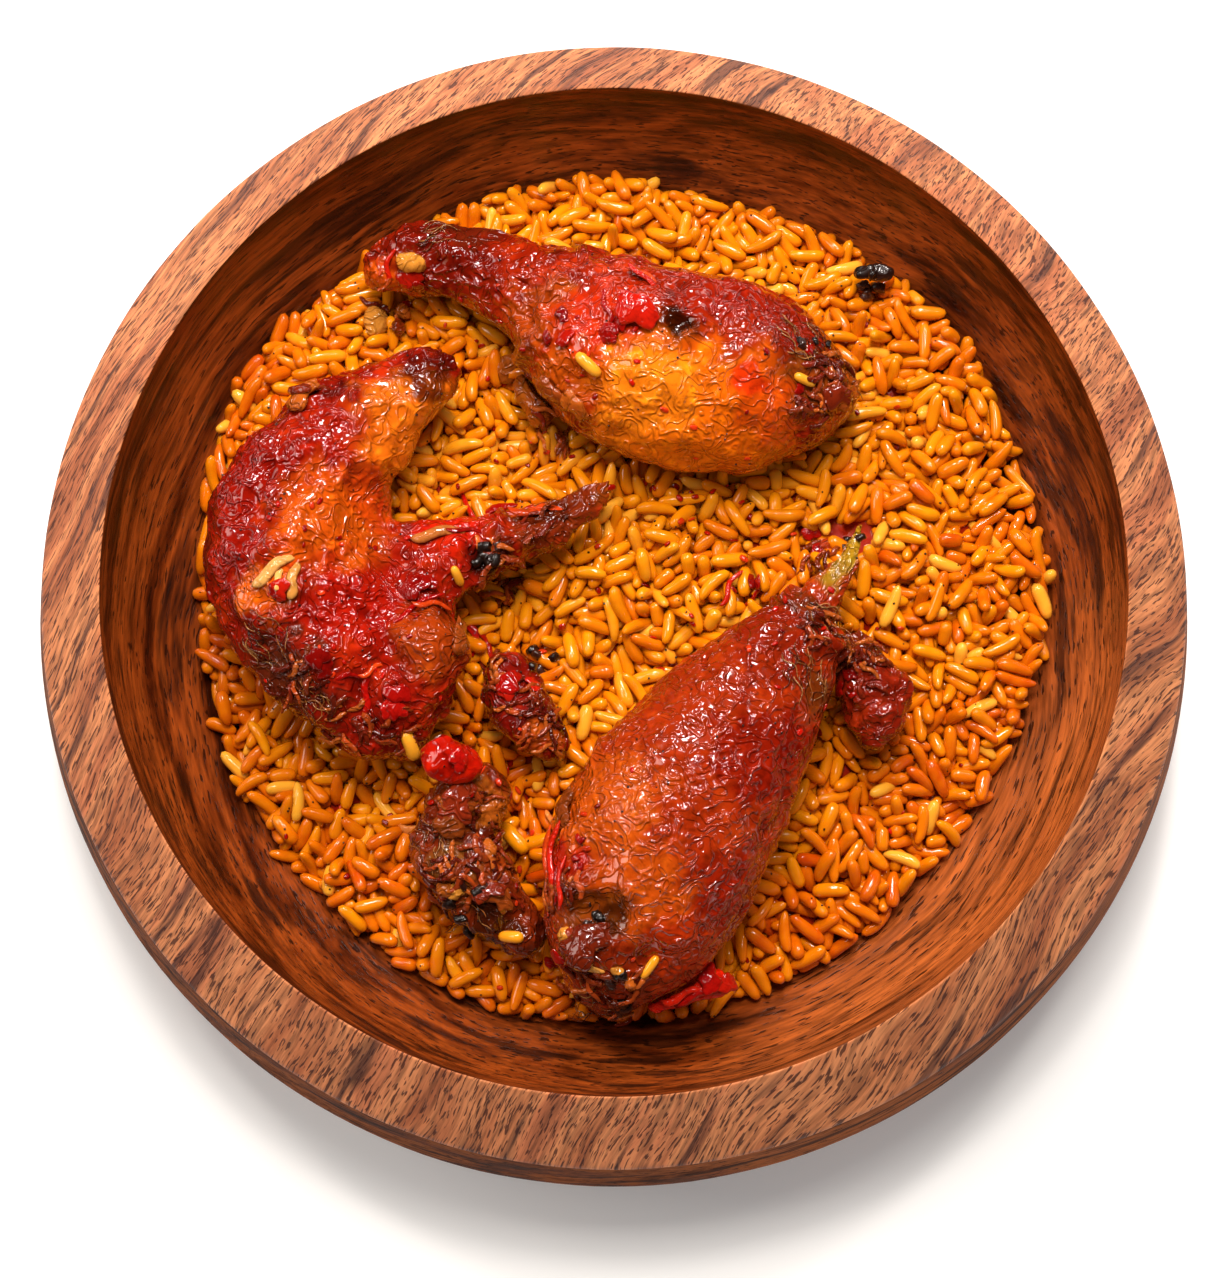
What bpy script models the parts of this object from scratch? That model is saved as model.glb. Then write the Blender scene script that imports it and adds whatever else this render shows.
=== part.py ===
"""A turned wooden bowl of jollof rice with three pieces of stewed chicken, scraps of meat and tomato.

Metres, +Z up. The origin is the centre of the bowl's foot, and the diner sits at -Y.
Every other size is worked out from the driving dimensions below.
"""

import math

import bmesh
import bpy
from mathutils import Matrix, Vector, noise

MM = 0.001

# Bowl: the rim is a flat face that falls outwards from the mouth to the rim's outer edge. Below it
# the side leans out to the belly, the widest place, and curves in under it to the foot.
MOUTH_RADIUS = 127.8 * MM
MOUTH_HEIGHT = 75.2 * MM
RIM_RADIUS = 145.0 * MM
RIM_HEIGHT = 60.0 * MM
BELLY_RADIUS = 149.0 * MM
BELLY_HEIGHT = 40.0 * MM
FOOT_RADIUS = 70.0 * MM
FLOOR_THICKNESS = 11.0 * MM
EDGE_ROUNDING = 1.0 * MM
INSIDE_POINTS = 13
BOWL_STEPS = 60

# Rice: a heap that leans a little up the back wall, and falls away steeply at its edge.
HEAP_RADIUS = 112.0 * MM
HEAP_LEAN = 3.0 * MM
LEAN_ANGLE = math.radians(75)
EDGE_RISE = 8.0 * MM
EDGE_WIDTH = 9.0 * MM
DOME_RISE = 7.0 * MM
HEAP_ROUGHNESS = 1.8 * MM
ROUGHNESS_SIZE = 22.0 * MM
HEAP_STEPS = 48
HEAP_RINGS = 10

# Food that touches other food keeps this gap to it, and the rice keeps a little more to the bowl.
GAP = 0.4 * MM
WALL_GAP = 0.5 * MM

# Each piece of food is a run of blobs this far apart, under one skin that is thinned to this share.
BLOB_SPACING = 2.5 * MM
SKIN_DETAIL = 0.33

BOWL_COLOUR = (0.40, 0.15, 0.06, 1)
RICE_COLOUR = (0.86, 0.30, 0.02, 1)
SKIN_COLOUR = (0.42, 0.07, 0.02, 1)
MEAT_COLOUR = (0.25, 0.05, 0.02, 1)
TOMATO_COLOUR = (0.60, 0.02, 0.01, 1)
CHAR_COLOUR = (0.03, 0.015, 0.01, 1)

# Each piece of food is one or more limbs. A limb is a smooth run of round sections along a bone:
# x, y, z and radius in millimetres. flat is the section's height over its width.
FOOD = {
    "drumstick": {
        "limbs": [
            [(-58, 85, 63, 10.5), (-45, 86, 64, 12.5), (-32, 82, 66, 13.5), (-19, 75, 68, 16.5),
             (-4, 63, 70, 22.5), (10, 56, 71, 27), (26, 53, 71, 27), (38, 51, 69, 22), (49, 50, 66, 14.5),
             (57, 54, 64, 6.5)],
        ],
        "flat": 0.86,
        "cell": 4.0,
        "colour": SKIN_COLOUR,
    },
    "wing": {
        "limbs": [
            [(-46, 54, 71, 8), (-55, 47, 71, 12.5), (-66, 37, 70, 17), (-78, 24, 69, 20.5),
             (-83, 9, 68, 22), (-77, -7, 68, 22.5), (-66, -22, 67, 19.5)],
            [(-49, -18, 72, 14.4), (-57, -32, 67, 15)],
            [(-52, 4, 67, 12), (-29, 9, 68, 9), (-14, 15, 70, 8), (-2, 23, 70, 6)],
        ],
        "flat": 0.9,
        "cell": 4.0,
        "colour": SKIN_COLOUR,
    },
    "leg": {
        "limbs": [
            [(62, 15, 71, 5), (58, 4, 70, 7), (48, -11, 70, 11), (37, -27, 71, 18), (24, -45, 71, 24),
             (13, -63, 71, 28), (6, -79, 69, 25.5), (0, -93, 64, 15.5), (-1, -102, 61, 8)],
        ],
        "flat": 0.8,
        "cell": 4.0,
        "colour": SKIN_COLOUR,
    },
    "back_piece": {
        "limbs": [
            [(-34, -53, 65, 10), (-41, -66, 64, 11), (-33, -76, 63, 10.5), (-23, -88, 60, 8)],
        ],
        "flat": 0.9,
        "cell": 3.2,
        "clear_of": ["leg", "wing"],
        "colour": MEAT_COLOUR,
    },
    "scrap_middle": {
        "limbs": [[(-27, -23, 62, 8), (-23, -33, 62, 9), (-15, -40, 60, 5)]],
        "flat": 0.8,
        "cell": 2.6,
        "clear_of": ["leg", "wing"],
        "colour": MEAT_COLOUR,
    },
    "scrap_right": {
        "limbs": [[(60, -19, 64, 6.5), (66, -27, 63, 9.5), (64, -36, 62, 7.5)]],
        "flat": 0.8,
        "cell": 2.6,
        "clear_of": ["leg"],
        "colour": MEAT_COLOUR,
    },
    "tomato_lump": {
        "limbs": [[(-42, -46, 77.5, 6.5), (-37, -47, 76.5, 5.5)]],
        "flat": 0.8,
        "cell": 2.0,
        "clear_of": ["back_piece", "wing"],
        "colour": TOMATO_COLOUR,
    },
    "tomato_slice": {
        "limbs": [[(10, -105, 61, 3.6), (18, -101, 65, 5.5), (26, -100, 64, 4.6)]],
        "flat": 0.6,
        "cell": 2.0,
        "clear_of": ["leg"],
        "colour": TOMATO_COLOUR,
    },
    "skin_scrap": {
        "limbs": [[(-22, 52, 62, 5), (-19, 46, 61, 5.5)]],
        "flat": 0.6,
        "cell": 2.0,
        "clear_of": ["drumstick"],
        "colour": SKIN_COLOUR,
    },
    "burnt_bud": {
        "limbs": [[(64, 83, 60, 3.2), (70, 83, 60, 3.8)]],
        "flat": 0.8,
        "cell": 1.8,
        "colour": CHAR_COLOUR,
    },
}


def material(name, colour, roughness):
    made = bpy.data.materials.new(name)
    made.use_nodes = True
    shader = made.node_tree.nodes["Principled BSDF"]
    shader.inputs["Base Color"].default_value = colour
    shader.inputs["Roughness"].default_value = roughness
    shader.inputs["Metallic"].default_value = 0.0
    return made


def add_object(name, mesh, finish=None):
    made = bpy.data.objects.new(name, mesh)
    bpy.context.scene.collection.objects.link(made)
    if finish:
        mesh.materials.append(finish)
    return made


def ellipse(centre, half_width, half_height, start, end, count):
    """Points along an ellipse in the XZ plane, angles in degrees from +X."""
    angles = [math.radians(start + (end - start) * i / (count - 1)) for i in range(count)]
    return [(centre[0] + half_width * math.cos(a), centre[1] + half_height * math.sin(a)) for a in angles]


def rounded(corner, before, after, radius):
    """Three points that take the sharpness off a corner of the profile."""
    corner = Vector(corner)
    first = corner + (Vector(before) - corner).normalized() * radius
    last = corner + (Vector(after) - corner).normalized() * radius
    middle = (first + last) / 2 * 0.4 + corner * 0.6
    return [tuple(first), tuple(middle), tuple(last)]


def inside_profile():
    """The bowl's hollow, from the middle of its floor up to the mouth."""
    return ellipse((0, MOUTH_HEIGHT), MOUTH_RADIUS, MOUTH_HEIGHT - FLOOR_THICKNESS, -90, 0, INSIDE_POINTS)


def bowl_profile():
    """From the middle of the floor, up the inside, over the rim and down the outside to the foot."""
    inside = inside_profile()
    underside = ellipse((FOOT_RADIUS, BELLY_HEIGHT), BELLY_RADIUS - FOOT_RADIUS, BELLY_HEIGHT, 0, -90, 8)
    rim_edge = (RIM_RADIUS, RIM_HEIGHT)
    mouth = rounded(inside[-1], inside[-2], rim_edge, EDGE_ROUNDING)
    rim = rounded(rim_edge, inside[-1], underside[0], EDGE_ROUNDING)
    return inside[:-1] + mouth + rim + underside + [(0, 0)]


def make_bowl():
    mesh = bpy.data.meshes.new("bowl")
    profile = bowl_profile()
    mesh.from_pydata([(x, 0, z) for x, z in profile], [(i, i + 1) for i in range(len(profile) - 1)], [])
    made = add_object("bowl", mesh, material("turned wood", BOWL_COLOUR, 0.45))
    turning = made.modifiers.new("turning", "SCREW")
    turning.steps = turning.render_steps = BOWL_STEPS
    turning.use_merge_vertices = True
    turning.merge_threshold = 0.01 * MM
    return made


def inside_height(radius):
    """Height of the bowl's inner surface at a radius."""
    share = min(radius / MOUTH_RADIUS, 1)
    return MOUTH_HEIGHT - (MOUTH_HEIGHT - FLOOR_THICKNESS) * math.sqrt(1 - share * share)


def heap_edge(angle):
    """Radius of the heap's uneven outline."""
    waves = 1.3 * math.sin(3 * angle + 0.6) + 0.8 * math.sin(7 * angle + 2)
    return HEAP_RADIUS + HEAP_LEAN * math.cos(angle - LEAN_ANGLE) + waves * MM


def heap_height(radius, angle):
    """Height of the rice's top at a place, before the food is pressed into it."""
    edge = heap_edge(angle)
    share = radius / edge
    rise = EDGE_RISE * (1 - math.exp(-(edge - radius) / (EDGE_WIDTH / 3)))
    place = Vector((radius * math.cos(angle), radius * math.sin(angle), 0)) / ROUGHNESS_SIZE
    calm = min(1, (edge - radius) / EDGE_WIDTH, radius / ROUGHNESS_SIZE)
    rough = HEAP_ROUGHNESS * noise.noise(place) * calm
    return inside_height(edge) + rise + DOME_RISE * (1 - share * share) + rough


def ring_of_points(built, radius_at, height_at):
    """A ring of vertices whose radius and height both depend on the angle."""
    ring = []
    for step in range(HEAP_STEPS):
        angle = 2 * math.pi * step / HEAP_STEPS
        radius = radius_at(angle)
        place = (radius * math.cos(angle), radius * math.sin(angle), height_at(radius, angle))
        ring.append(built.verts.new(place))
    return ring


def bridge_rings(built, rings, middle):
    """Quads between rings that run outwards, and a fan of triangles around the middle."""
    for step in range(HEAP_STEPS):
        after = (step + 1) % HEAP_STEPS
        built.faces.new((middle, rings[0][step], rings[0][after]))
        for inner, outer in zip(rings, rings[1:]):
            built.faces.new((inner[step], outer[step], outer[after], inner[after]))


def make_rice():
    """The top is rings out to the edge, the underside follows the bowl's own rings, one gap above."""
    built = bmesh.new()
    rim = ring_of_points(built, lambda angle: heap_edge(angle) - WALL_GAP,
                         lambda radius, angle: inside_height(radius) + WALL_GAP)
    tops = []
    for i in range(1, HEAP_RINGS):
        share = math.sin(math.pi / 2 * i / HEAP_RINGS)
        tops.append(ring_of_points(built, lambda angle: heap_edge(angle) * share, heap_height))
    nearest = HEAP_RADIUS - HEAP_LEAN - EDGE_WIDTH / 2
    bottoms = [ring_of_points(built, lambda angle: radius, lambda r, angle: inside_height(r) + WALL_GAP)
               for radius, height in inside_profile()[1:] if radius < nearest]
    bridge_rings(built, [*tops, rim], built.verts.new((0, 0, heap_height(0, 0))))
    bridge_rings(built, [*bottoms, rim], built.verts.new((0, 0, FLOOR_THICKNESS + WALL_GAP)))
    bmesh.ops.recalc_face_normals(built, faces=built.faces)
    mesh = bpy.data.meshes.new("rice")
    built.to_mesh(mesh)
    built.free()
    mesh.shade_smooth()
    return add_object("rice", mesh, material("cooked rice", RICE_COLOUR, 0.35))


def smooth_run(stations):
    """Sections every few millimetres along a curve through a limb's stations."""
    points = [Vector(s) for s in stations]
    padded = [2 * points[0] - points[1], *points, 2 * points[-1] - points[-2]]
    run = []
    for a, b, c, d in zip(padded, padded[1:], padded[2:], padded[3:]):
        count = max(2, math.ceil((c - b).xyz.length * MM / BLOB_SPACING))
        for i in range(count):
            t = i / count
            run.append(0.5 * (2 * b + (c - a) * t + (2 * a - 5 * b + 4 * c - d) * t * t
                              + (3 * b - a - 3 * c + d) * t * t * t))
    return [*run, points[-1]]


def blob_mesh(name, limbs, flat):
    """A round blob at each section; a voxel remesh then makes one skin of them."""
    built = bmesh.new()
    for limb in limbs:
        for x, y, z, radius in smooth_run(limb):
            place = Matrix.Translation(Vector((x, y, z)) * MM) @ Matrix.Diagonal((1, 1, flat, 1))
            bmesh.ops.create_icosphere(built, subdivisions=2, radius=radius * MM, matrix=place)
    mesh = bpy.data.meshes.new(name)
    built.to_mesh(mesh)
    built.free()
    return mesh


def shape_food(made, sizes, grow=0.0):
    """One closed skin over the blobs, smoothed; grow makes the slightly larger cutter."""
    skin = made.modifiers.new("skin", "REMESH")
    skin.mode = "VOXEL"
    skin.voxel_size = sizes["cell"] * MM
    skin.use_smooth_shade = True
    smoothing = made.modifiers.new("smoothing", "SMOOTH")
    smoothing.factor = 0.5
    smoothing.iterations = 4
    thinning = made.modifiers.new("thinning", "DECIMATE")
    thinning.ratio = SKIN_DETAIL
    if grow:
        growth = made.modifiers.new("growth", "DISPLACE")
        growth.mid_level = 0
        growth.strength = grow


def make_food(name, sizes):
    made = add_object(name, blob_mesh(name, sizes["limbs"], sizes["flat"]),
                      material(name + " finish", sizes["colour"], 0.3))
    shape_food(made, sizes)
    cutter = add_object(name + "_cutter", blob_mesh(name + "_cutter", sizes["limbs"], sizes["flat"]))
    shape_food(cutter, sizes, GAP)
    cutter.hide_render = True
    cutter.display_type = "WIRE"
    return made, cutter


def keep_clear(made, cutters):
    """Cuts room for the pieces that made touches."""
    for cutter in cutters:
        cut = made.modifiers.new("clear of " + cutter.name, "BOOLEAN")
        cut.operation = "DIFFERENCE"
        cut.object = cutter


def main():
    for old in list(bpy.data.objects):
        bpy.data.objects.remove(old)
    make_bowl()
    rice = make_rice()
    cutters = {}
    for name, sizes in FOOD.items():
        made, cutters[name] = make_food(name, sizes)
        keep_clear(made, [cutters[other] for other in sizes.get("clear_of", [])])
    keep_clear(rice, cutters.values())


main()
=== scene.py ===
import math

import bpy
import numpy as np
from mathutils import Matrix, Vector, noise
from mathutils.bvhtree import BVHTree


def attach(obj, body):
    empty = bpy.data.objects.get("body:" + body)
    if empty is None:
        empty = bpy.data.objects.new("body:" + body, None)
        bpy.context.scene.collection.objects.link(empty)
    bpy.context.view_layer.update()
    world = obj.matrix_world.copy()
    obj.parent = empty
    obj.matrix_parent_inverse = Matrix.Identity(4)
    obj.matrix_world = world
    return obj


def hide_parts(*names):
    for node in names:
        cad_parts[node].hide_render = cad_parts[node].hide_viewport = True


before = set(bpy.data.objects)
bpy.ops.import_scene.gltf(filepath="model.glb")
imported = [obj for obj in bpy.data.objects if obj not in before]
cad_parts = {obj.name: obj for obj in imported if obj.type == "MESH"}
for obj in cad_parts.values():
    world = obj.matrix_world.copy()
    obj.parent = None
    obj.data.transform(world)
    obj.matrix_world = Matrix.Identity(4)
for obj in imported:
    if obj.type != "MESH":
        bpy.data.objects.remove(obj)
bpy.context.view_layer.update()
mm = 0.001
draw = np.random.default_rng(41)  # every random choice comes from here, in order


def toLinear(hexColour):
    parts = [int(hexColour[i:i + 2], 16) / 255 for i in (1, 3, 5)]
    return (*[p / 12.92 if p <= 0.04045 else ((p + 0.055) / 1.055) ** 2.4 for p in parts], 1.0)


def addNode(tree, kind, settings, links=None):
    node = tree.nodes.new(kind)
    for name, value in settings.items():
        if name == "stops":  # the stops of a colour ramp: (place, hex colour or grey value)
            ramp = node.color_ramp
            while len(ramp.elements) < len(value):
                ramp.elements.new(0.5)
            for element, (place, colour) in zip(ramp.elements, value):
                element.position = place
                grey = (colour, colour, colour, 1)
                element.color = toLinear(colour) if isinstance(colour, str) else grey
        elif isinstance(name, str) and name not in node.inputs:
            setattr(node, name, value)
        else:
            node.inputs[name].default_value = value
    for name, source in (links or {}).items():
        tree.links.new(source, node.inputs[name])
    return node


def mapRange(tree, source, low, high, toLow=0.0, toHigh=1.0, curve="LINEAR"):
    settings = {"interpolation_type": curve, "From Min": low, "From Max": high,
                "To Min": toLow, "To Max": toHigh}
    return addNode(tree, "ShaderNodeMapRange", settings, {"Value": source}).outputs[0]


def bumpBy(tree, height, strength, distance):
    settings = {"Strength": strength, "Distance": distance}
    return addNode(tree, "ShaderNodeBump", settings, {"Height": height}).outputs[0]


def mixColours(tree, share, under, over, method="MIX"):
    settings = {"data_type": "RGBA", "blend_type": method, 7: toLinear(over)}
    return addNode(tree, "ShaderNodeMix", settings, {0: share, 6: under}).outputs[2]


def newMaterial(name, roughness, **shine):
    material = bpy.data.materials.new(name)
    material.use_nodes = True
    shader = material.node_tree.nodes["Principled BSDF"]
    shader.inputs["Roughness"].default_value = roughness
    for socket, value in shine.items():
        shader.inputs[socket.replace("_", " ")].default_value = value
    return material, material.node_tree, shader


def startMesh(addPrimitive, name, **sizes):
    bpy.ops.object.select_all(action="DESELECT")
    addPrimitive(**sizes)
    piece = bpy.context.object
    piece.name = piece.data.name = name
    return piece


def finishPiece(piece, material, slot, *nodes):
    if material:
        piece.data.materials.clear()
        piece.data.materials.append(material)
    piece.data.shade_smooth()
    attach(piece, "root")
    if nodes:
        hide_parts(*nodes)
    return piece


def meshPoints(mesh):
    points = np.empty(len(mesh.vertices) * 3)
    mesh.vertices.foreach_get("co", points)
    return points.reshape(-1, 3) / mm


def meshNormals(mesh):
    normals = np.empty(len(mesh.vertices) * 3)
    mesh.vertex_normals.foreach_get("vector", normals)
    return normals.reshape(-1, 3)


def setPoints(mesh, points):
    mesh.vertices.foreach_set("co", (points * mm).ravel())
    mesh.update()


def roughField(points, size, seed=0.0):
    # smooth noise from -1 to 1 at each point, with lumps of about this size in mm
    shift = Vector((seed * 7.3, seed * 3.1, seed * 5.7))
    return np.array([noise.noise(Vector(p) / size + shift) for p in points])


def blend(low, high, value):
    t = np.clip((value - low) / (high - low), 0, 1)
    return t * t * (3 - 2 * t)


def surfaceTree(pieces):
    points = []
    faces = []
    for piece in pieces:
        start = len(points)
        points += [v.co.copy() for v in piece.data.vertices]
        faces += [tuple(v + start for v in p.vertices) for p in piece.data.polygons]
    return BVHTree.FromPolygons(points, faces)


def nodeCopy(node, name):
    # the plain part's mesh is loose triangles, so a copy of it is merged before anything else
    piece = bpy.data.objects.new(name, bpy.data.objects[node].data.copy())
    bpy.context.scene.collection.objects.link(piece)
    piece.data.materials.clear()
    selectOnly(piece)
    bpy.ops.object.mode_set(mode="EDIT")
    bpy.ops.mesh.select_all(action="SELECT")
    bpy.ops.mesh.remove_doubles(threshold=0.00001)
    bpy.ops.object.mode_set(mode="OBJECT")
    return piece


def selectOnly(piece):
    bpy.ops.object.select_all(action="DESELECT")
    piece.select_set(True)
    bpy.context.view_layer.objects.active = piece


def applyModifier(piece, kind, **settings):
    modifier = piece.modifiers.new(kind.lower(), kind)
    for name, value in settings.items():
        setattr(modifier, name, value)
    selectOnly(piece)
    bpy.ops.object.modifier_apply(modifier=modifier.name)


# Turned from one block of reddish open-pored hardwood: the rim is left dry and light, the hollow is
# dark with oil, and the grain runs across the whole bowl in one direction.
bowl = {
    "mouthRadius": 127.8,
    "mouthHeight": 75.2,
    "rimRadius": 145.0,
    "rimHeight": 60.0,
    "bellyRadius": 149.0,
    "bellyHeight": 40.0,
    "footRadius": 70.0,
    "floorThickness": 11.0,
    "edgeRounding": 1.1,
    "steps": 192,
    "toolMarks": 0.18,
}
grain = {
    "turn": (0.1, 0.06, -math.radians(55)),
    "swayScale": 11,
    "sway": (0.02, 0.026, 0.012),
    "paintedLightTowards": (7.0, -5.6, 0.0),  # painted light: the front right is painted paler, most of all in the hollow, whose wall there faces the light
    "paintedLightFrom": 0.8,
    "paintedLightFull": 1.1,
    "paintedLight": "#8a4720",
}
# For the rim, the hollow and the outside, in this order. Bands, streaks, fibres and pores say how many
# go in a metre along the grain, across it and down.
# pale is how strongly each surface is painted paler on its front right, as painted light
woodLooks = {
    "dry turned hardwood": {
        "tones": [(0.36, "#97512f"), (0.44, "#b56a40"), (0.52, "#cb7f50"), (0.58, "#bb6c44"),
            (0.66, "#9c5736")],
        "bands": (7, 75, 10),
        "streak": "#45231c",
        "streaks": (12, 165, 14),
        "streakFrom": 0.59,
        "streakEdge": 0.07,
        "fibre": 0.48,
        "fibres": (70, 1100, 100),
        "pore": "#3a150c",
        "pores": (230, 1900, 240),
        "poreFrom": 0.565,
        "roughness": 0.58,
        "gloss": 0.32,
        "bump": 0.4,
        "pale": 0.3,
    },
    "oiled turned hardwood": {
        "tones": [(0.36, "#3c1203"), (0.44, "#6c2a08"), (0.52, "#924011"), (0.58, "#78310a"),
            (0.66, "#401604")],
        "bands": (8, 22, 120),
        "streak": "#220a03",
        "streaks": (12, 40, 300),
        "streakFrom": 0.53,
        "streakEdge": 0.1,
        "fibre": 0.45,
        "fibres": (50, 130, 1000),
        "pore": "#1d0802",
        "pores": (150, 330, 1900),
        "poreFrom": 0.6,
        "roughness": 0.36,
        "gloss": 0.45,
        "bump": 0.3,
        "pale": 1.35,
    },
    "waxed turned hardwood": {
        "tones": [(0.36, "#4a210b"), (0.44, "#6b3312"), (0.52, "#87471d"), (0.58, "#763b16"),
            (0.66, "#4c240c")],
        "bands": (8, 30, 100),
        "streak": "#24100a",
        "streaks": (12, 50, 240),
        "streakFrom": 0.54,
        "streakEdge": 0.08,
        "fibre": 0.35,
        "fibres": (60, 160, 900),
        "pore": "#200d06",
        "pores": (150, 400, 1700),
        "poreFrom": 0.6,
        "roughness": 0.66,
        "gloss": 0.03,
        "bump": 0.3,
        "pale": 0.4,
    },
}


def turnedHardwood(name, look):
    # open pores show as short dark dashes along the grain, and late wood as darker bands
    material, tree, shader = newMaterial(name, look["roughness"], IOR=1.45,
                                         Specular_IOR_Level=look["gloss"])
    place = addNode(tree, "ShaderNodeTexCoord", {}).outputs["Object"]
    along = addNode(tree, "ShaderNodeMapping", {"Rotation": grain["turn"]}, {"Vector": place}).outputs[0]
    sway = addNode(tree, "ShaderNodeTexNoise", {"Scale": grain["swayScale"], "Detail": 2},
                   {"Vector": along})
    swayed = addNode(tree, "ShaderNodeVectorMath", {"operation": "MULTIPLY_ADD", 1: grain["sway"]},
                     {0: sway.outputs["Color"], 2: along}).outputs[0]

    def stretchedNoise(pitch, detail):
        spot = addNode(tree, "ShaderNodeVectorMath", {"operation": "MULTIPLY", 1: pitch}, {0: swayed})
        return addNode(tree, "ShaderNodeTexNoise", {"Scale": 1, "Detail": detail, "Roughness": 0.6},
                       {"Vector": spot.outputs[0]}).outputs[0]

    bands = stretchedNoise(look["bands"], 5)
    tones = addNode(tree, "ShaderNodeValToRGB", {"stops": look["tones"]}, {"Fac": bands})
    # painted light: the front right is screened paler, standing in for the light falling on the hollow's
    # front-right wall
    corner = addNode(tree, "ShaderNodeVectorMath", {"operation": "DOT_PRODUCT", 1: grain["paintedLightTowards"]},
                     {0: place}).outputs["Value"]
    paintedLight = mapRange(tree, corner, grain["paintedLightFrom"], grain["paintedLightFull"], 0.0, look["pale"])
    lightPainted = mixColours(tree, paintedLight, tones.outputs[0], grain["paintedLight"], "SCREEN")
    streak = mapRange(tree, stretchedNoise(look["streaks"], 3), look["streakFrom"],
                      look["streakFrom"] + look["streakEdge"], 0.0, 0.8)
    streaked = mixColours(tree, streak, lightPainted, look["streak"])
    fibres = stretchedNoise(look["fibres"], 2)
    fibreShade = mapRange(tree, fibres, 0.36, 0.6, 1 - look["fibre"], 1.08)
    lined = addNode(tree, "ShaderNodeVectorMath", {"operation": "SCALE"},
                    {0: streaked, "Scale": fibreShade})
    # pores are about 0.4 mm wide and 3 mm long
    pores = stretchedNoise(look["pores"], 1)
    pore = mapRange(tree, pores, look["poreFrom"], look["poreFrom"] + 0.05, 0.0, 0.85)
    pored = mixColours(tree, pore, lined.outputs[0], look["pore"])
    tree.links.new(pored, shader.inputs["Base Color"])
    depth = addNode(tree, "ShaderNodeMath", {"operation": "MULTIPLY_ADD", 1: -1.0}, {0: pore, 2: fibres})
    tree.links.new(bumpBy(tree, depth.outputs[0], look["bump"], 0.0004), shader.inputs["Normal"])
    sheen = mapRange(tree, bands, 0.3, 0.7, look["roughness"] - 0.08, look["roughness"] + 0.1)
    tree.links.new(sheen, shader.inputs["Roughness"])
    return material


def arc(centre, width, height, start, end, count):
    # points along an ellipse's arc in the profile plane, in degrees from the outward direction
    angles = np.radians(np.linspace(start, end, count))
    return [(centre[0] + width * math.cos(a), centre[1] + height * math.sin(a)) for a in angles]


def easedCorner(corner, before, after, radius, count=5):
    corner, before, after = (Vector(p) for p in (corner, before, after))
    first = corner + (before - corner).normalized() * radius
    last = corner + (after - corner).normalized() * radius
    spots = []
    for i in range(count):
        t = i / (count - 1)
        spots.append(tuple(first * (1 - t) ** 2 + corner * 2 * t * (1 - t) + last * t * t))
    return spots


def wallHeight(radius):
    share = np.clip(radius / bowl["mouthRadius"], 0, 1)
    depth = bowl["mouthHeight"] - bowl["floorThickness"]
    return bowl["mouthHeight"] - depth * np.sqrt(1 - share * share)


def makeBowl():
    depth = bowl["mouthHeight"] - bowl["floorThickness"]
    hollow = arc((0, bowl["mouthHeight"]), bowl["mouthRadius"], depth, -90, 0, 33)
    under = arc((bowl["footRadius"], bowl["bellyHeight"]), bowl["bellyRadius"] - bowl["footRadius"],
                bowl["bellyHeight"], 0, -90, 20)
    rimEdge = (bowl["rimRadius"], bowl["rimHeight"])
    mouth = easedCorner(hollow[-1], hollow[-2], rimEdge, bowl["edgeRounding"])
    rim = easedCorner(rimEdge, hollow[-1], under[0], bowl["edgeRounding"])
    slope = [tuple(Vector(mouth[-1]).lerp(Vector(rim[0]), i / 6)) for i in range(1, 6)]
    side = [tuple(Vector(rim[-1]).lerp(Vector(under[0]), i / 5)) for i in range(1, 5)]
    profile = [*hollow[:-1], *mouth, *slope, *rim, *side, *under, (0, 0)]
    piece = startMesh(bpy.ops.mesh.primitive_plane_add, "bowl_turned", size=0.002)
    bpy.ops.object.mode_set(mode="EDIT")
    bpy.ops.mesh.select_all(action="SELECT")
    bpy.ops.mesh.merge(type="CENTER")
    bpy.ops.transform.translate(value=(0, 0, profile[0][1] * mm))
    for here, there in zip(profile, profile[1:]):
        step = ((there[0] - here[0]) * mm, 0, (there[1] - here[1]) * mm)
        bpy.ops.mesh.extrude_region_move(TRANSFORM_OT_translate={"value": step})
    bpy.ops.mesh.select_all(action="SELECT")
    bpy.ops.mesh.spin(steps=bowl["steps"], angle=2 * math.pi, center=(0, 0, 0), axis=(0, 0, 1))
    bpy.ops.mesh.select_all(action="SELECT")
    bpy.ops.mesh.remove_doubles(threshold=0.00001)
    bpy.ops.mesh.normals_make_consistent(inside=False)
    bpy.ops.object.mode_set(mode="OBJECT")
    mesh = piece.data
    points = meshPoints(mesh)
    wobble = np.minimum(roughField(points, 24, 1.0), 0.2) - 0.2  # only inwards, so it grows no wider
    above = (points[:, 2] > 1)[:, None]
    setPoints(mesh, points + meshNormals(mesh) * wobble[:, None] * bowl["toolMarks"] * above)
    for name, look in woodLooks.items():
        mesh.materials.append(turnedHardwood(name, look))
    slopeLine = (bowl["rimHeight"] - bowl["mouthHeight"]) / (bowl["rimRadius"] - bowl["mouthRadius"])
    for face in mesh.polygons:
        radius = face.center.xy.length / mm
        onSlope = bowl["mouthHeight"] + slopeLine * (radius - bowl["mouthRadius"])
        if face.center.z / mm > onSlope - 0.6 and radius > bowl["mouthRadius"] - 0.5:
            face.material_index = 0
        else:
            face.material_index = 1 if radius < bowl["mouthRadius"] and face.normal.z > 0.0 else 2
    return finishPiece(piece, None, "bowl_wood", "bowl")


makeBowl()
print("bowl turned")


oilFilm = {  # each pattern's scale is how many go in a metre
    "mottle": 420,  # blotches of sauce 2.4 mm across
    "ripples": 220,  # ridges 4.5 mm apart and under 1 mm wide
    "beads": 480,  # drops of sauce 2.1 mm apart
}


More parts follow.
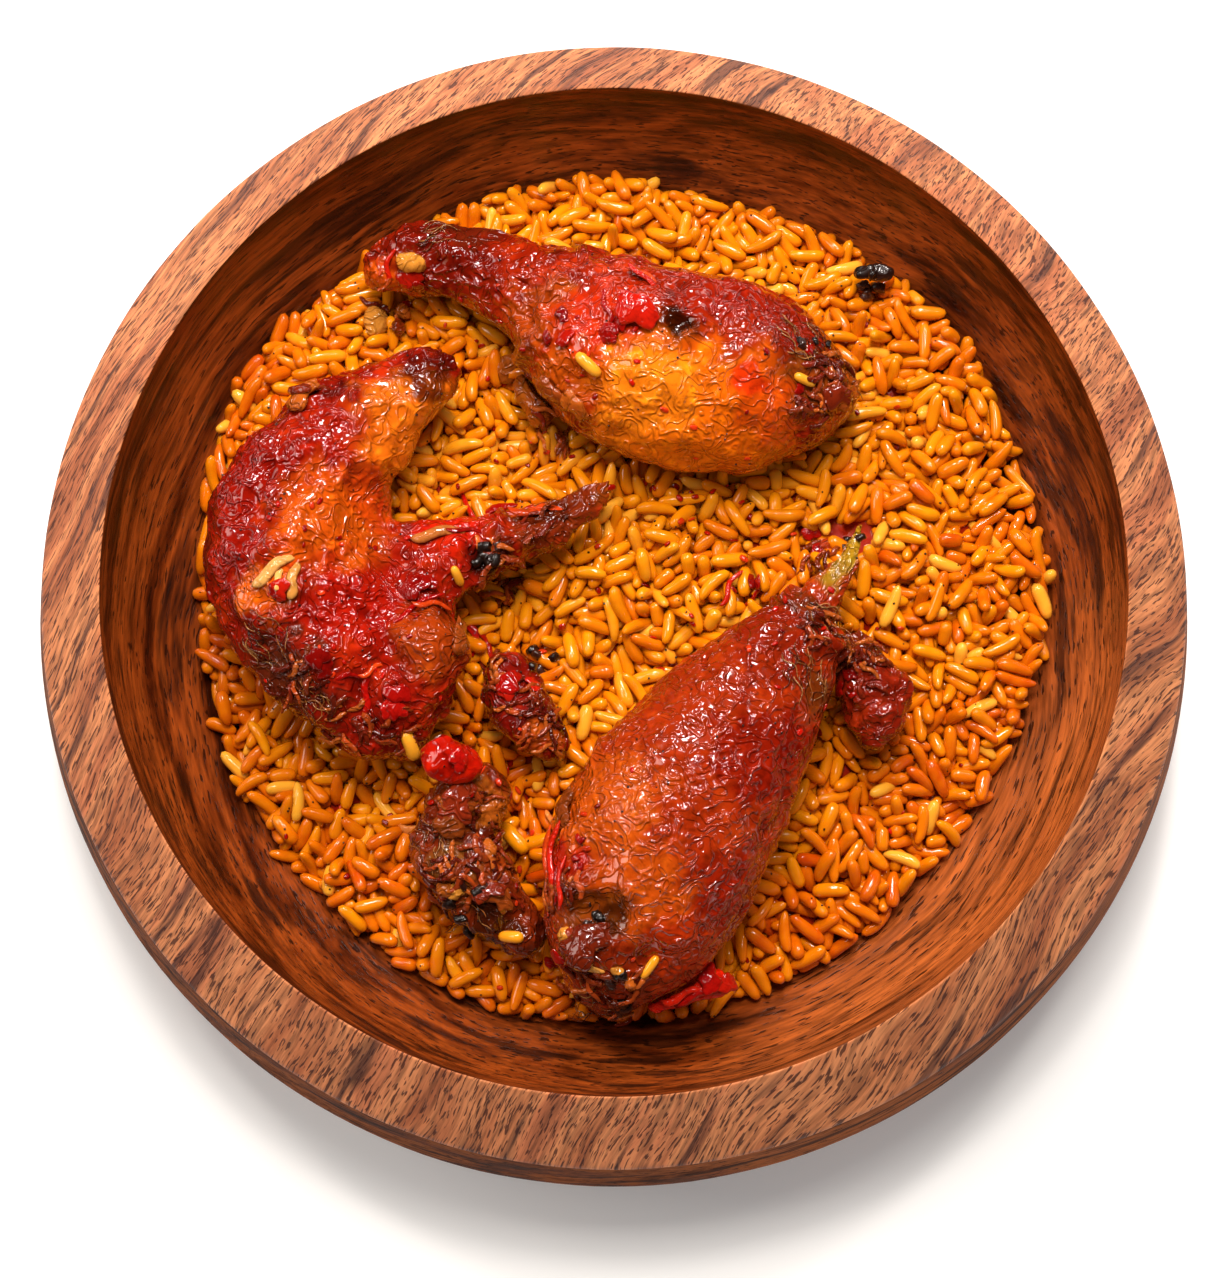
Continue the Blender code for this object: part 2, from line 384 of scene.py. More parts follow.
def wetFood(name, roughness, film, bump):
    # colour comes from the painted tint; a film of oil over wrinkles gives thin sharp glints
    material, tree, shader = newMaterial(name, roughness, IOR=1.42, Coat_Weight=0.7, Coat_IOR=1.47,
                                         Coat_Roughness=0.06)
    place = addNode(tree, "ShaderNodeTexCoord", {}).outputs["Object"]
    tint = addNode(tree, "ShaderNodeAttribute", {"attribute_name": "tint"}).outputs["Color"]
    blotches = {"Scale": oilFilm["mottle"], "Detail": 5, "Roughness": 0.65}
    mottle = addNode(tree, "ShaderNodeTexNoise", blotches, {"Vector": place})
    shade = addNode(tree, "ShaderNodeValToRGB", {"stops": [(0.34, 0.62), (0.5, 0.98), (0.66, 1.0)]},
                    {"Fac": mottle.outputs[0]})
    colour = addNode(tree, "ShaderNodeMix", {"data_type": "RGBA", "blend_type": "MULTIPLY", 0: 1.0},
                     {6: tint, 7: shade.outputs[0]})
    tree.links.new(colour.outputs[2], shader.inputs["Base Color"])
    # worm-like ridges stand where one noise crosses its middle, with beads of sauce between them
    ripples = {"Scale": oilFilm["ripples"], "Detail": 0, "Distortion": 1.5}
    worms = addNode(tree, "ShaderNodeTexNoise", ripples, {"Vector": place})
    offMiddle = addNode(tree, "ShaderNodeMath", {"operation": "SUBTRACT", 1: 0.5}, {0: worms.outputs[0]})
    away = addNode(tree, "ShaderNodeMath", {"operation": "ABSOLUTE"}, {0: offMiddle.outputs[0]})
    ridge = mapRange(tree, away.outputs[0], 0.0, 0.14, film, 0.0, "SMOOTHSTEP")
    beads = addNode(tree, "ShaderNodeTexVoronoi", {"feature": "F1", "Scale": oilFilm["beads"]},
                    {"Vector": place})
    bead = mapRange(tree, beads.outputs[0], 0.0, 0.34, 0.25, 0.0, "SMOOTHSTEP")
    height = addNode(tree, "ShaderNodeMath", {"operation": "ADD"}, {0: ridge, 1: bead})
    relief = bumpBy(tree, height.outputs[0], bump, 0.0006)
    for socket in ("Normal", "Coat Normal"):
        tree.links.new(relief, shader.inputs[socket])
    return material


foodMaterials = {  # one for each slot
    "chicken": wetFood("stewed chicken skin", 0.12, 1.0, 0.75),
    "meat": wetFood("stewed shredded meat", 0.16, 0.8, 0.8),
    "tomato": wetFood("cooked tomato", 0.09, 0.5, 0.5),
    "burnt": wetFood("burnt spice bud", 0.4, 0.6, 0.6),
}


# Fried skin stewed in tomato and oil: wet and wrinkled, red-brown where sauce sits, golden where the
# skin is bare, black where it burnt. tints are painted in order, each as (x, y, reach, colour, strength,
# raggedness). calm spots stay smooth, swells are (x, y, reach, height), and a cuff is the thick edge where
# skin ends, as (x, y, heading, lip, step). Lengths are in mm.
foods = {
    "drumstick_skin": {
        "node": "drumstick", "slot": "chicken",
        "cell": 0.6, "lumps": 1.5, "folds": 0.85, "pimples": 0.16,
        "base": ["#5c0c02", "#921d04", "#b83007"],
        "tints": [(-44, 84, 19, "#660c03", 0.85, 0.5), (-38, 92, 8, "#531a07", 0.6, 0.8),
            (-60, 74, 10, "#c64907", 0.85, 0.6), (-54, 70, 5, "#bd1403", 0.8, 0.6),
            (-18, 66, 11, "#a53f07", 0.8, 0.5), (-28, 56, 7, "#7e3808", 0.7, 0.6),
            (-2, 60, 15, "#b82504", 0.85, 0.4), (-12, 48, 9, "#c05007", 0.8, 0.5),
            (22, 39, 25, "#de6105", 0.97, 0.2), (8, 43, 15, "#ed7a0f", 0.9, 0.3),
            (16, 26, 12, "#e26707", 0.8, 0.3), (38, 40, 11, "#b83804", 0.75, 0.5),
            (34, 46, 5, "#c61f04", 0.7, 0.7), (28, 64, 14, "#8b1505", 0.85, 0.45),
            (44, 60, 10, "#7f1604", 0.8, 0.6), (50, 48, 9, "#783408", 0.8, 0.7),
            (60, 52, 7, "#a5490b", 0.8, 0.7), (16, 60, 5, "#230601", 0.95, 0.6),
            (30, 18, 7, "#922704", 0.6, 0.7)],
        "calm": [(18, 34, 27), (25, 58, 9)],
        "swells": [(-61, 74, 8, 2.6), (-54, 90, 7, 1.6), (-56, 70, 5, 1.6), (10, 66, 7, 1.5),
            (-14, 60, 8, 1.4), (-36, 78, 6, -1.2), (-28, 66, 6, -1.4), (16, 60, 4, -2.2),
            (44, 47, 7, -1.6), (58, 50, 5, 1.6), (40, 58, 6, 1.4), (-6, 47, 6, -1.6), (28, 22, 8, -1.0)],
        "cuffs": [(-21, 63, 148, 1.1, 1.6)],
    },
    "wing_skin": {
        "node": "wing", "slot": "chicken",
        "cell": 0.6, "lumps": 1.9, "folds": 1.0, "pimples": 0.2,
        "base": ["#550802", "#8e1304", "#b22705"],
        "tints": [(-51, 37, 17, "#d8650d", 0.9, 0.35), (-46, 52, 8, "#460702", 0.85, 0.7),
            (-38, 42, 5, "#6e0d03", 0.8, 0.7), (-68, 34, 9, "#921203", 0.7, 0.5),
            (-71, 12, 15, "#cb5108", 0.85, 0.4), (-60, 20, 8, "#c63d06", 0.7, 0.6),
            (-88, 24, 12, "#830d03", 0.8, 0.5), (-93, 4, 9, "#840e04", 0.8, 0.5),
            (-86, -6, 8, "#cf5707", 0.8, 0.6), (-64, -8, 14, "#9e1204", 0.85, 0.45),
            (-45, -18, 11, "#9d3707", 0.9, 0.4), (-62, -34, 9, "#831104", 0.8, 0.6),
            (-80, -26, 12, "#491f0d", 0.8, 0.7), (-31, 6, 7, "#230401", 0.9, 0.5),
            (-14, 15, 14, "#6b2508", 0.85, 0.6), (-18, 18, 6, "#330a02", 0.7, 0.8),
            (-40, 14, 9, "#b81604", 0.8, 0.5), (-2, 24, 6, "#773408", 0.7, 0.6)],
        "calm": [(-46, -16, 10), (-52, 38, 13), (-72, 14, 9)],
        "swells": [(-45, -18, 10, 2.4), (-31, 5, 8, -4.5), (-55, 4, 7, -1.8), (-90, -1, 6, -2.6),
            (-84, 4, 5, 1.4), (-52, 40, 9, 1.6), (-73, 10, 9, 1.8), (-60, 22, 7, -1.4), (-78, 30, 7, 1.2),
            (-57, -22, 6, -2.0), (-72, -24, 7, 1.6), (-62, -32, 6, -1.6), (-84, -20, 6, -1.5),
            (-40, 30, 5, -1.4)],
        "cuffs": [(-26, 11, 15, 1.3, 1.0)],
    },
    "leg_skin": {
        "node": "leg", "slot": "chicken",
        "cell": 0.6, "lumps": 1.1, "folds": 0.72, "pimples": 0.22,
        "base": ["#6e1302", "#922505", "#ac3708"],
        "tints": [(18, -46, 26, "#972906", 0.7, 0.3), (-2, -58, 16, "#b84a09", 0.85, 0.4),
            (6, -80, 13, "#b14507", 0.75, 0.4), (36, -46, 15, "#780d02", 0.85, 0.5),
            (30, -80, 12, "#801203", 0.8, 0.5), (40, -14, 12, "#771405", 0.8, 0.5),
            (50, -30, 6, "#642c07", 0.8, 0.8), (46, -8, 6, "#582709", 0.7, 0.8),
            (57, 4, 8, "#9e3d07", 0.8, 0.5), (56, 3, 6, "#977316", 0.8, 0.5),
            (61, 11, 7, "#a97c14", 0.9, 0.4), (-5, -86, 9, "#833706", 0.9, 0.4),
            (-2, -88, 5, "#361102", 0.85, 0.5), (-14, -72, 7, "#a51203", 0.8, 0.6),
            (0, -100, 10, "#681704", 0.8, 0.6), (14, -92, 8, "#9e2705", 0.7, 0.6)],
        "calm": [(-4, -86, 8)],
        "swells": [(-4, -86, 8, -5.0), (4, -80, 4, 1.4), (-10, -78, 5, 1.4), (8, -96, 6, -1.8),
            (-12, -60, 6, -1.4), (40, -22, 6, -1.2), (52, -18, 5, 1.4), (24, -30, 9, 0.8),
            (30, -66, 9, 0.8), (16, -90, 6, 1.2)],
        "cuffs": [(45, -6, 47, 1.6, 2.8)],
    },
    "back_meat": {
        "node": "back_piece", "slot": "meat",
        "cell": 0.6, "lumps": 2.4, "folds": 1.2, "pimples": 0.3,
        "base": ["#3e0c02", "#701f05", "#973709"],
        "tints": [(-31, -56, 8, "#a95211", 0.75, 0.7), (-40, -74, 8, "#6e3f11", 0.7, 0.7),
            (-30, -84, 8, "#230c02", 0.75, 0.7), (-43, -80, 6, "#921b04", 0.7, 0.7)],
    },
    "middle_meat": {
        "node": "scrap_middle", "slot": "meat",
        "cell": 0.55, "lumps": 1.9, "folds": 1.0, "pimples": 0.25,
        "base": ["#420602", "#750e04", "#9d1f05"],
        "tints": [(-18, -38, 5, "#b8520b", 0.5, 0.7)],
    },
    "right_meat": {
        "node": "scrap_right", "slot": "meat",
        "cell": 0.55, "lumps": 1.9, "folds": 1.0, "pimples": 0.3,
        "base": ["#490c02", "#791705", "#972708"],
        "tints": [(58, -14, 7, "#642c07", 0.7, 0.7)],
    },
    "tomato_bit": {
        "node": "tomato_lump", "slot": "tomato",
        "cell": 0.45, "lumps": 1.2, "folds": 0.6, "pimples": 0.15,
        "base": ["#720701", "#a81103", "#c32005"],
    },
    "tomato_wedge": {
        "node": "tomato_slice", "slot": "tomato",
        "cell": 0.45, "lumps": 1.2, "folds": 0.35, "pimples": 0.05,
        "base": ["#b80a02", "#e21c06", "#f4360c"],
    },
    "loose_skin": {
        "node": "skin_scrap", "slot": "chicken",
        "cell": 0.5, "lumps": 1.4, "folds": 0.7, "pimples": 0.15,
        "base": ["#581b03", "#923f08", "#b66111"],
    },
    "spice_bud": {
        "node": "burnt_bud", "slot": "burnt",
        "cell": 0.4, "lumps": 1.2, "folds": 0.7, "pimples": 0.3,
        "base": ["#100604", "#200c07", "#3a1c10"],
    },
}


def linearTint(hexColour):
    return np.array(toLinear(hexColour)[:3])


def paintTint(mesh, points, look, height):
    # the valleys of the wrinkles are painted darker and redder than the ridges, as painted shade in the
    # creases
    warp = np.stack([roughField(points, 5, seed) for seed in (3.0, 4.0)], axis=1)
    mixed = 0.5 + 0.55 * roughField(points, 9, 5.0) + 0.35 * roughField(points, 3.2, 6.0)
    dark, middle, light = (linearTint(c) for c in look["base"])
    tint = dark + (middle - dark) * blend(0.0, 0.5, mixed)[:, None]
    tint = tint + (light - tint) * blend(0.5, 1.0, mixed)[:, None]
    fine = roughField(points, 1.9, 7.0)
    for x, y, reach, colour, strength, ragged in look.get("tints", []):
        away = np.hypot(points[:, 0] + warp[:, 0] * reach * ragged - x,
                        points[:, 1] + warp[:, 1] * reach * ragged - y) / reach
        cover = strength * (1 - blend(0.55, 1.15, away + 0.25 * ragged * fine))
        tint = tint + (linearTint(colour) - tint) * cover[:, None]
    # painted shade: darker and redder down in the creases of the wrinkles
    creaseShade = blend(0.15, -0.6, height / max(look["folds"], 0.1))[:, None]
    tint = tint * (1 - creaseShade * np.array([0.35, 0.55, 0.6]))
    paler = blend(0.2, 0.7, roughField(points, 2.4, 8.0))[:, None]
    tint = tint * (1 + paler * np.array([0.4, 0.7, 0.6]))
    colours = np.concatenate([np.clip(tint, 0, 1), np.ones((len(points), 1))], axis=1)
    mesh.color_attributes.new("tint", "FLOAT_COLOR", "POINT").data.foreach_set("color", colours.ravel())


wrinkles = {  # sizes in mm, and how much each kind counts
    "lump": 11,
    "smallLump": 5.5,
    "bend": 7,
    "crease": 6.0,
    "creaseShare": 0.45,
    "worm": 3.9,
    "wormWidth": 0.24,
    "wormShare": 0.7,
    "patch": 15,
    "pimple": 1.8,
    "calmest": 0.1,
}


def skinWrinkles(points, bend, look):
    # creases are sharp ridges with soft valleys, worms are raised wrinkles, and some patches lie taut
    creases = 1 - 2.8 * np.abs(roughField(points + bend * 4, wrinkles["crease"], 3.5))
    worms = np.exp(-(roughField(points + bend * 3, wrinkles["worm"], 4.5) / wrinkles["wormWidth"]) ** 2)
    patchy = 0.3 + 0.7 * blend(-0.3, 0.3, roughField(points, wrinkles["patch"], 6.5))
    calm = np.ones(len(points))
    for x, y, reach in look.get("calm", []):
        away = np.hypot(points[:, 0] - x, points[:, 1] - y) / reach
        calm *= wrinkles["calmest"] + (1 - wrinkles["calmest"]) * blend(0.5, 1.2, away)
    relief = wrinkles["creaseShare"] * creases + wrinkles["wormShare"] * worms - 0.2
    return calm * patchy * look["folds"] * relief


def makeFood(name, look):
    piece = nodeCopy(look["node"], name)
    applyModifier(piece, "SUBSURF", levels=1, render_levels=1)
    applyModifier(piece, "REMESH", mode="VOXEL", voxel_size=look["cell"] * mm, use_smooth_shade=True)
    applyModifier(piece, "SMOOTH", factor=0.5, iterations=6)
    mesh = piece.data
    points = meshPoints(mesh)
    normals = meshNormals(mesh)
    large, small = roughField(points, wrinkles["lump"], 1.0), roughField(points, wrinkles["smallLump"], 2.0)
    lumps = look["lumps"] * (large + 0.6 * small)
    bend = np.stack([roughField(points, wrinkles["bend"], seed) for seed in (1.5, 2.5, 0.5)], axis=1)
    relief = skinWrinkles(points, bend, look)
    pimples = 0.6 * look["pimples"] * roughField(points, wrinkles["pimple"], 5.5)
    moved = lumps + relief + pimples - look["folds"] * 0.5
    for x, y, reach, rise in look.get("swells", []):
        away = np.hypot(points[:, 0] + bend[:, 0] * 3 - x, points[:, 1] + bend[:, 1] * 3 - y) / reach
        moved += rise * (1 - blend(0.2, 1.1, away)) * np.maximum(normals[:, 2], 0)
    for x, y, heading, lip, step in look.get("cuffs", []):
        # the skin ends in a thick ragged edge here, and what sticks out of it is thinner
        turn = math.radians(heading)
        beyond = (points[:, 0] - x) * math.cos(turn) + (points[:, 1] - y) * math.sin(turn) + bend[:, 2] * 6
        moved += lip * np.exp(-((beyond + 1) / 1.6) ** 2) - step * blend(0, 2.5, beyond)
    setPoints(mesh, points + normals * moved[:, None])
    paintTint(mesh, points, look, relief)
    print(name, len(mesh.polygons), "faces")
    return finishPiece(piece, foodMaterials[look["slot"]], look["slot"], look["node"])


foodPieces = [makeFood(name, look) for name, look in foods.items()]
print("chicken, meat and tomato shaped")


# Parboiled long-grain rice cooked in tomato and oil: separate plump grains, orange with a thin gloss.
rice = {
    "layer": 8.5,  # depth of loose grains over the core, mm
    "seeds": 3150,
    "settleSteps": 90,
    "fall": 0.13,
    "rumple": 2.2,  # how uneven the heap lies under its loose grains, mm
    "gridSize": 240,  # the heap is measured on a 1 mm grid this wide, as far out as measureRadius
    "measureRadius": 120,
    "wallRadius": 127,
    "directions": 180,  # the outline is found in this many directions, from edgeFrom outwards
    "edgeFrom": 95,
    "edgeWaves": 3.5,  # how far the outline of the heap wanders, mm
    "span": 118,
    "seedRadius": 116,
    "tiltSpread": 0.6,
    "headingSpread": 0.75,
    "sideSpread": 1.3,  # some grains stick out of the heap's side by about this, mm
    "pairReach": 4.3,
    "pushFactor": 1.6,
    "coreRadius": 102,
    # the core gets the darkest tone as painted shade, seen in the gaps between the loose grains
    "gapShadeTone": 0.02,
    "coreSegments": 96,
    "coreRings": 48,
}
grainKinds = {
    "grains_plump": {"length": 9.7, "width": 3.65, "bow": 0.4, "taper": 0.1, "blunt": 3.6, "share": 0.5},
    "grains_slim": {"length": 11.0, "width": 3.3, "bow": 0.9, "taper": 0.14, "blunt": 3.2, "share": 0.38},
    "grains_broken": {"length": 6.6, "width": 3.5, "bow": 0.15, "taper": 0.08, "share": 0.12},
}
riceTones = [(0.0, "#8a1602"), (0.2, "#b43c02"), (0.42, "#d26503"), (0.7, "#e08406"), (1.0, "#e8a12e")]


def heapTop():
    # height of the plain heap on a 1 mm grid, with the food's nests in it, in mm
    tree = surfaceTree([bpy.data.objects["rice"]])
    size = rice["gridSize"]
    grid = np.full((size, size), np.nan)
    for i in range(size):
        for j in range(size):
            x, y = i - size / 2 + 0.5, j - size / 2 + 0.5
            if math.hypot(x, y) < rice["measureRadius"]:
                hit = tree.ray_cast(Vector((x * mm, y * mm, 0.2)), Vector((0, 0, -1)))[0]
                if hit:
                    grid[i, j] = hit.z / mm
    return grid


def gridValue(grid, x, y):
    last = rice["gridSize"] - 1
    i = np.clip((x + last / 2).round().astype(int), 0, last)
    j = np.clip((y + last / 2).round().astype(int), 0, last)
    return grid[i, j]


topGrid = heapTop()
cellX, cellY = np.meshgrid(np.arange(rice["gridSize"]), np.arange(rice["gridSize"]), indexing="ij")
middle = (rice["gridSize"] - 1) / 2
wallGrid = wallHeight(np.minimum(np.hypot(cellX - middle, cellY - middle), rice["wallRadius"]))
topGrid = np.where(np.isnan(topGrid), wallGrid, topGrid)
cells = np.stack([cellX, cellY, np.zeros(cellX.shape)], axis=2).reshape(-1, 3)
rumpled = roughField(cells, 10, 2.2).reshape(cellX.shape) * rice["rumple"]
coreGrid = np.maximum(topGrid - rice["layer"] + rumpled, wallGrid)
print("heap measured")


def heapEdge():
    # how far out the heap reaches in each direction, wandering by a few mm
    reaches = []
    for turn in range(rice["directions"]):
        angle = turn / (rice["directions"] / 2) * math.pi
        far = np.arange(rice["edgeFrom"], rice["measureRadius"], 0.5)
        x, y = far * math.cos(angle), far * math.sin(angle)
        thick = gridValue(topGrid, x, y) - wallHeight(far) > 2
        edge = far[thick].max() if thick.any() else 110
        ripple = noise.noise(Vector((math.cos(angle) * 7, math.sin(angle) * 7, 0.3)))
        reaches.append(edge - 1.5 + ripple * rice["edgeWaves"])
    return np.array(reaches)


def foodDistance(levels=(36, 92), cell=2.0):
    # signed distance to the food on a coarse grid, so that grains stay out of it
    xs = np.arange(-rice["span"], rice["span"] + cell, cell)
    zs = np.arange(levels[0], levels[1] + cell, cell)
    field = np.full((len(xs), len(xs), len(zs)), 9.0)
    for piece in foodPieces:
        tree = surfaceTree([piece])
        points = meshPoints(piece.data)
        low, high = points.min(0) - 5, points.max(0) + 5
        for i in np.flatnonzero((xs > low[0]) & (xs < high[0])):
            for j in np.flatnonzero((xs > low[1]) & (xs < high[1])):
                for k in np.flatnonzero((zs > low[2]) & (zs < high[2])):
                    spot = Vector((xs[i], xs[j], zs[k])) * mm
                    near, normal, _, away = tree.find_nearest(spot, 0.03)
                    if near:
                        away = away / mm
                        if (spot - near).dot(normal) < 0:
                            away = -away
                        field[i, j, k] = min(field[i, j, k], away)
    return {"field": field, "start": np.array([xs[0], xs[0], zs[0]]), "cell": cell}


def readField(food, points):
    where = (points - food["start"]) / food["cell"]
    limit = np.array(food["field"].shape) - 2
    base = np.clip(np.floor(where).astype(int), 0, limit)
    part = np.clip(where - base, 0, 1)
    i, j, k = base.T
    f = food["field"]
    corners = [[[f[i + a, j + b, k + c] for c in (0, 1)] for b in (0, 1)] for a in (0, 1)]
    u, v, w = part.T
    alongZ = [[corners[a][b][0] * (1 - w) + corners[a][b][1] * w for b in (0, 1)] for a in (0, 1)]
    alongY = [alongZ[a][0] * (1 - v) + alongZ[a][1] * v for a in (0, 1)]
    value = alongY[0] * (1 - u) + alongY[1] * u
    slopeX = alongY[1] - alongY[0]
    slopeY = (alongZ[0][1] - alongZ[0][0]) * (1 - u) + (alongZ[1][1] - alongZ[1][0]) * u
    slopeZ = sum((corners[a][b][1] - corners[a][b][0]) * (u if a else 1 - u) * (v if b else 1 - v)
                 for a in (0, 1) for b in (0, 1))
    slope = np.stack([slopeX, slopeY, slopeZ], axis=1)
    return value, slope / np.maximum(np.linalg.norm(slope, axis=1, keepdims=True), 1e-6)


def nearbyPairs(points, reach):
    # every pair of points in the same or a neighbouring cell of a grid
    cells = np.floor(points / reach).astype(np.int64)
    cells -= cells.min(0) - 1
    strideY = cells[:, 2].max() + 2
    strideX = strideY * (cells[:, 1].max() + 2)
    key = cells[:, 0] * strideX + cells[:, 1] * strideY + cells[:, 2]
    order = np.argsort(key, kind="stable")
    ranked = key[order]
    firsts, seconds = [], []
    for dx in (-1, 0, 1):
        for dy in (-1, 0, 1):
            for dz in (-1, 0, 1):
                wanted = key + dx * strideX + dy * strideY + dz
                start = np.searchsorted(ranked, wanted, "left")
                count = np.searchsorted(ranked, wanted, "right") - start
                one = np.repeat(np.arange(len(points)), count)
                inside = np.arange(count.sum()) - np.repeat(np.cumsum(count) - count, count)
                two = order[np.repeat(start, count) + inside]
                keep = one < two
                firsts.append(one[keep])
                seconds.append(two[keep])
    one, two = np.concatenate(firsts), np.concatenate(seconds)
    keep = ((points[one] - points[two]) ** 2).sum(1) < reach * reach
    return one[keep], two[keep]


def scatterSeeds():
    # grains start in loose layers above the core, wherever there is open rice
    kinds = list(grainKinds)
    spots = []
    while len(spots) < rice["seeds"]:
        x, y = draw.uniform(-rice["span"], rice["span"], 2)
        top = gridValue(topGrid, np.array([x]), np.array([y]))[0]
        depth = top - wallHeight(math.hypot(x, y))
        if depth < 1.5 or math.hypot(x, y) > rice["seedRadius"]:
            continue
        thickness = min(rice["layer"], depth)
        if draw.uniform(0, rice["layer"]) > thickness:
            continue
        z = top - thickness + draw.uniform(0.5, 1.0) + draw.uniform(0, 1) * (thickness + 2)
        clear = readField(food, np.array([[x, y, z]]))[0][0]
        if clear >= 0.3 or (clear >= 0 and top >= z - 1):
            spots.append((x, y, z))
    centre = np.array(spots)
    flow = np.array([noise.noise(Vector((x / 26, y / 26, 0.7))) for x, y, z in spots])
    heading = flow * math.pi * 2.2 + draw.normal(0, rice["headingSpread"], len(spots))
    tilt = draw.normal(0, rice["tiltSpread"], len(spots))
    flat = np.cos(tilt)
    direction = np.stack([np.cos(heading) * flat, np.sin(heading) * flat, np.sin(tilt)], axis=1)
    kind = draw.choice(len(kinds), len(spots), p=[grainKinds[k]["share"] for k in kinds])
    length = np.array([grainKinds[kinds[k]]["length"] for k in kind]) * draw.normal(1, 0.07, len(spots))
    width = np.array([grainKinds[kinds[k]]["width"] for k in kind]) * draw.normal(1, 0.05, len(spots))
    return centre, direction, kind, length, width


def pushApart(balls, radius, one, two):
    # each ball moves by the mean of the pushes that it gets
    count = len(balls)
    gap = balls[one] - balls[two]
    away = np.maximum(np.linalg.norm(gap, axis=1), 1e-6)
    overlap = np.maximum(radius[one] + radius[two] - away, 0)
    push = gap * (overlap / away * 0.5)[:, None]
    hits = np.bincount(one, overlap > 0, count) + np.bincount(two, overlap > 0, count)
    move = np.stack([np.bincount(one, push[:, a], count) - np.bincount(two, push[:, a], count)
                     for a in range(3)], axis=1)
    return balls + move / np.maximum(hits, 1)[:, None] * rice["pushFactor"]


def holdInHollow(balls, radius):
    # above the core, and inside the hollow, which is half of an ellipsoid
    floor = gridValue(coreGrid, balls[:, 0], balls[:, 1]) + radius * 0.5
    balls[:, 2] = np.maximum(balls[:, 2], floor)
    below = bowl["mouthHeight"] - balls[:, 2]
    wide = (bowl["mouthRadius"] - radius) ** 2
    deep = (bowl["mouthHeight"] - bowl["floorThickness"] - radius) ** 2
    spread = np.sqrt((balls[:, 0] ** 2 + balls[:, 1] ** 2) / wide + below ** 2 / deep)
    shrink = np.minimum(1, 1 / spread)
    balls[:, :2] *= shrink[:, None]
    balls[:, 2] = bowl["mouthHeight"] - below * shrink


def holdInOutline(balls, edge, outer):
    far = np.maximum(np.hypot(balls[:, 0], balls[:, 1]), 1e-6)
    angle = np.arctan2(balls[:, 1], balls[:, 0]) / math.pi
    turn = (angle * (rice["directions"] / 2)).astype(int) % rice["directions"]
    balls[:, :2] *= np.minimum(1, (edge[turn] + outer) / far)[:, None]


def holdOutOfFood(balls, radius):
    value, slope = readField(food, balls)
    inside = np.clip(radius * 0.75 - value, 0, 1.0)
    balls += slope * inside[:, None]


def settle(centre, direction, length, width):
    # each grain is three balls in a rigid row, pushed apart until none overlap, while it sinks
    half = (length - width) / 2
    edge = heapEdge()
    outer = np.repeat(draw.normal(0, rice["sideSpread"], len(centre)), 3)
    radius = np.repeat(width / 2 * 0.93, 3)
    owner = np.repeat(np.arange(len(centre)), 3)
    for step in range(rice["settleSteps"]):
        slower = 1 if step < rice["settleSteps"] * 0.75 else 0.3
        centre = centre - np.array([0, 0, rice["fall"] * slower])
        row = np.array([-1.0, 0.0, 1.0])[None, :, None] * half[:, None, None] * direction[:, None, :]
        balls = (centre[:, None, :] + row).reshape(-1, 3)
        if step % 3 == 0:
            one, two = nearbyPairs(balls, rice["pairReach"])
            apart = owner[one] != owner[two]
            one, two = one[apart], two[apart]
        balls = pushApart(balls, radius, one, two)
        holdInHollow(balls, radius)
        holdInOutline(balls, edge, outer)
        holdOutOfFood(balls, radius)
        rows = balls.reshape(-1, 3, 3)
        centre = rows.mean(1)
        direction = rows[:, 2] - rows[:, 0]
        direction /= np.maximum(np.linalg.norm(direction, axis=1, keepdims=True), 1e-6)
    return centre, direction


def podShape(name, look):
    # a blunt spindle along X, bowed and waved, thin in Z; a ragged one is lumpy all round
    piece = startMesh(bpy.ops.mesh.primitive_uv_sphere_add, name + "_shape", segments=look.get("sides", 8),
                      ring_count=look.get("rings", 8), radius=0.5)
    bpy.ops.object.mode_set(mode="EDIT")
    bpy.ops.mesh.select_all(action="SELECT")
    bpy.ops.transform.rotate(value=math.pi / 2, orient_axis="Y", center_override=(0, 0, 0))
    bpy.ops.object.mode_set(mode="OBJECT")
    points = meshPoints(piece.data) * mm * 2  # unit ball, long axis along X
    t = np.clip(points[:, 0], -1, 1)
    blunt = np.sign(t) * (1 - (1 - np.abs(t)) ** 0.8)  # rings gather towards the ends
    around = np.maximum(np.hypot(points[:, 1], points[:, 2]), 1e-9)
    girth = (1 - np.abs(blunt) ** look.get("blunt", 4.5)) ** 0.5 * (1 - look.get("taper", 0) * blunt)
    shape = np.stack([blunt * look["length"] / 2, points[:, 1] / around * girth * look["width"] / 2,
                      points[:, 2] / around * girth * look["width"] / 2 * look.get("flat", 0.94)], axis=1)
    shape[around < 1e-6, 1:] = 0
    size = min(look["length"], look["width"])
    lumpy = roughField(shape, size * 0.6 + 0.3, 3.3) + 0.6 * roughField(shape, size * 0.3 + 0.15, 1.3)
    shape *= (1 + look.get("ragged", 0) * lumpy)[:, None]
    shape[:, 1] += look.get("wave", 0) * np.sin(blunt * 4.1 + 0.8)
    shape[:, 2] -= look["bow"] * (blunt ** 2 - 0.4)
    faces = [tuple(p.vertices) for p in piece.data.polygons]
    bpy.data.objects.remove(piece)
    return shape, faces


